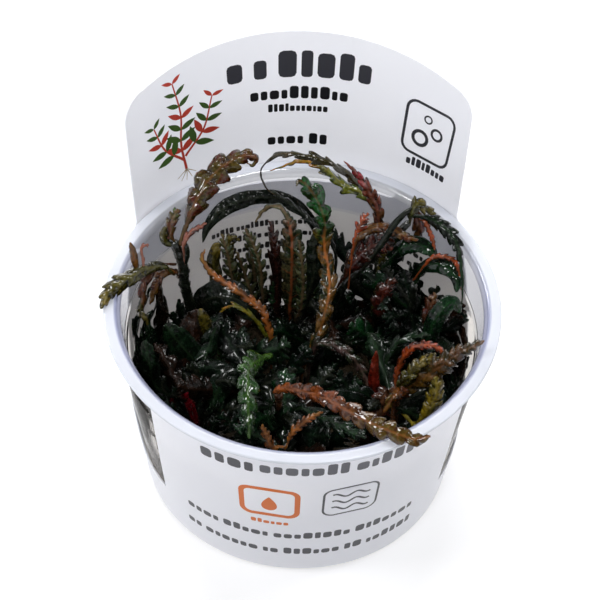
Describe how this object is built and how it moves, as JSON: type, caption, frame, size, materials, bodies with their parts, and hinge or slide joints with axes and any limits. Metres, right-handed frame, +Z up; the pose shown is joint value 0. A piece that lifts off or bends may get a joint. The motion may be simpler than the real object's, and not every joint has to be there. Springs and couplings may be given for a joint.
{
  "type": "tissue culture plant cup",
  "caption": "Clear flanged cup of gel holding a tangle of lobed aquarium plantlets, with a white die-cut label wrapped round it and rising behind as a tall tag.",
  "frame": {"origin": "middle of the cup's flat underside", "axes": "+Z up along the cup's axis, -Y towards the front of the label, +Y towards the tall tag"},
  "size_m": [0.1019, 0.1083, 0.0974],
  "materials": {
    "clear_plastic": "clear, smooth moulded plastic with a faint blue tint",
    "printed_sheet": "satin white printed sheet with grey and orange marks",
    "gel": "clear brownish jelly",
    "stem_black_green": "wet, glossy black-green stem",
    "stem_dark_green": "wet, glossy dark green stem",
    "stem_olive": "wet, glossy olive stem",
    "stem_brown": "wet, glossy brown stem",
    "stem_red": "wet, glossy red stem",
    "leaf_black_green": "wet, blistered black-green leaf",
    "leaf_dark_green": "wet, blistered dark green leaf",
    "leaf_green": "wet, blistered green leaf",
    "leaf_olive": "wet, blistered olive leaf",
    "leaf_grey_green": "wet, blistered grey-green leaf",
    "leaf_yellow": "wet, blistered yellow leaf",
    "leaf_golden": "wet, blistered golden-brown leaf",
    "leaf_brown": "wet, blistered brown leaf",
    "leaf_red_brown": "wet, blistered red-brown leaf",
    "leaf_orange": "wet, blistered orange leaf",
    "leaf_pink": "wet, blistered pink leaf",
    "leaf_red": "wet, blistered red leaf"
  },
  "bodies": {
    "root": {"clear_cup": "clear_plastic", "printed_sleeve": "printed_sheet", "nutrient_gel": "gel", "plantlet_back_left": "stem_black_green", "plantlet_back_centre": "stem_dark_green", "plantlet_back_right": "stem_olive", "stem_back_right_thin": "stem_black_green", "plantlet_leaning": "stem_black_green", "plantlet_right": "stem_black_green", "plantlet_front_right": "stem_brown", "plantlet_front_left": "stem_dark_green", "plantlet_centre": "stem_black_green", "plantlet_front": "stem_brown", "plantlet_left_red": "stem_red", "leaf_back_left_wrinkled": "leaf_brown", "leaf_back_left_pink": "leaf_pink", "leaf_left_rim_olive": "leaf_olive", "leaf_left_rim_upright": "leaf_golden", "leaf_left_brown_hanging": "leaf_brown", "leaf_left_curled": "leaf_golden", "leaf_back_black_arch": "leaf_black_green", "leaf_back_grey_left": "leaf_grey_green", "leaf_back_grey_middle": "leaf_grey_green", "leaf_back_red_rib": "leaf_grey_green", "leaf_back_grey_right": "leaf_grey_green", "leaf_back_toothed_red": "leaf_red_brown", "leaf_back_long_curl": "leaf_black_green", "leaf_back_tip_curl": "leaf_black_green", "leaf_back_yellow_arch": "leaf_yellow", "leaf_back_pink_upright": "leaf_pink", "leaf_centre_long_golden": "leaf_golden", "leaf_red_twig": "leaf_orange", "leaf_right_brown_wrinkled": "leaf_red_brown", "leaf_right_golden_bridge": "leaf_golden", "leaf_right_drape": "leaf_dark_green", "leaf_right_green_gloss": "leaf_green", "leaf_right_orange_thin": "leaf_orange", "leaf_right_red_thin": "leaf_red", "leaf_right_green_fan": "leaf_dark_green", "leaf_right_dark_arc": "leaf_red_brown", "leaf_right_pink_brown": "leaf_brown", "leaf_right_brown_hanging": "leaf_brown", "leaf_orange_narrow": "leaf_orange", "leaf_yellow_curl": "leaf_yellow", "leaf_left_oval_olive": "leaf_olive", "leaf_left_dark_green": "leaf_dark_green", "leaf_left_wall_teal": "leaf_dark_green", "leaf_front_green_lobed": "leaf_green", "leaf_front_left_olive": "leaf_olive", "leaf_centre_grey_arch": "leaf_grey_green", "leaf_front_rim_orange": "leaf_orange", "leaf_front_green_under": "leaf_green", "leaf_front_orange_right": "leaf_orange", "leaf_front_orange_left": "leaf_orange", "leaf_right_rim_brown": "leaf_brown", "leaf_right_orange_arch": "leaf_orange", "leaf_right_olive": "leaf_olive", "leaf_right_yellow_wall": "leaf_yellow", "leaf_front_orange_brown": "leaf_brown"}
  },
  "joints": []
}
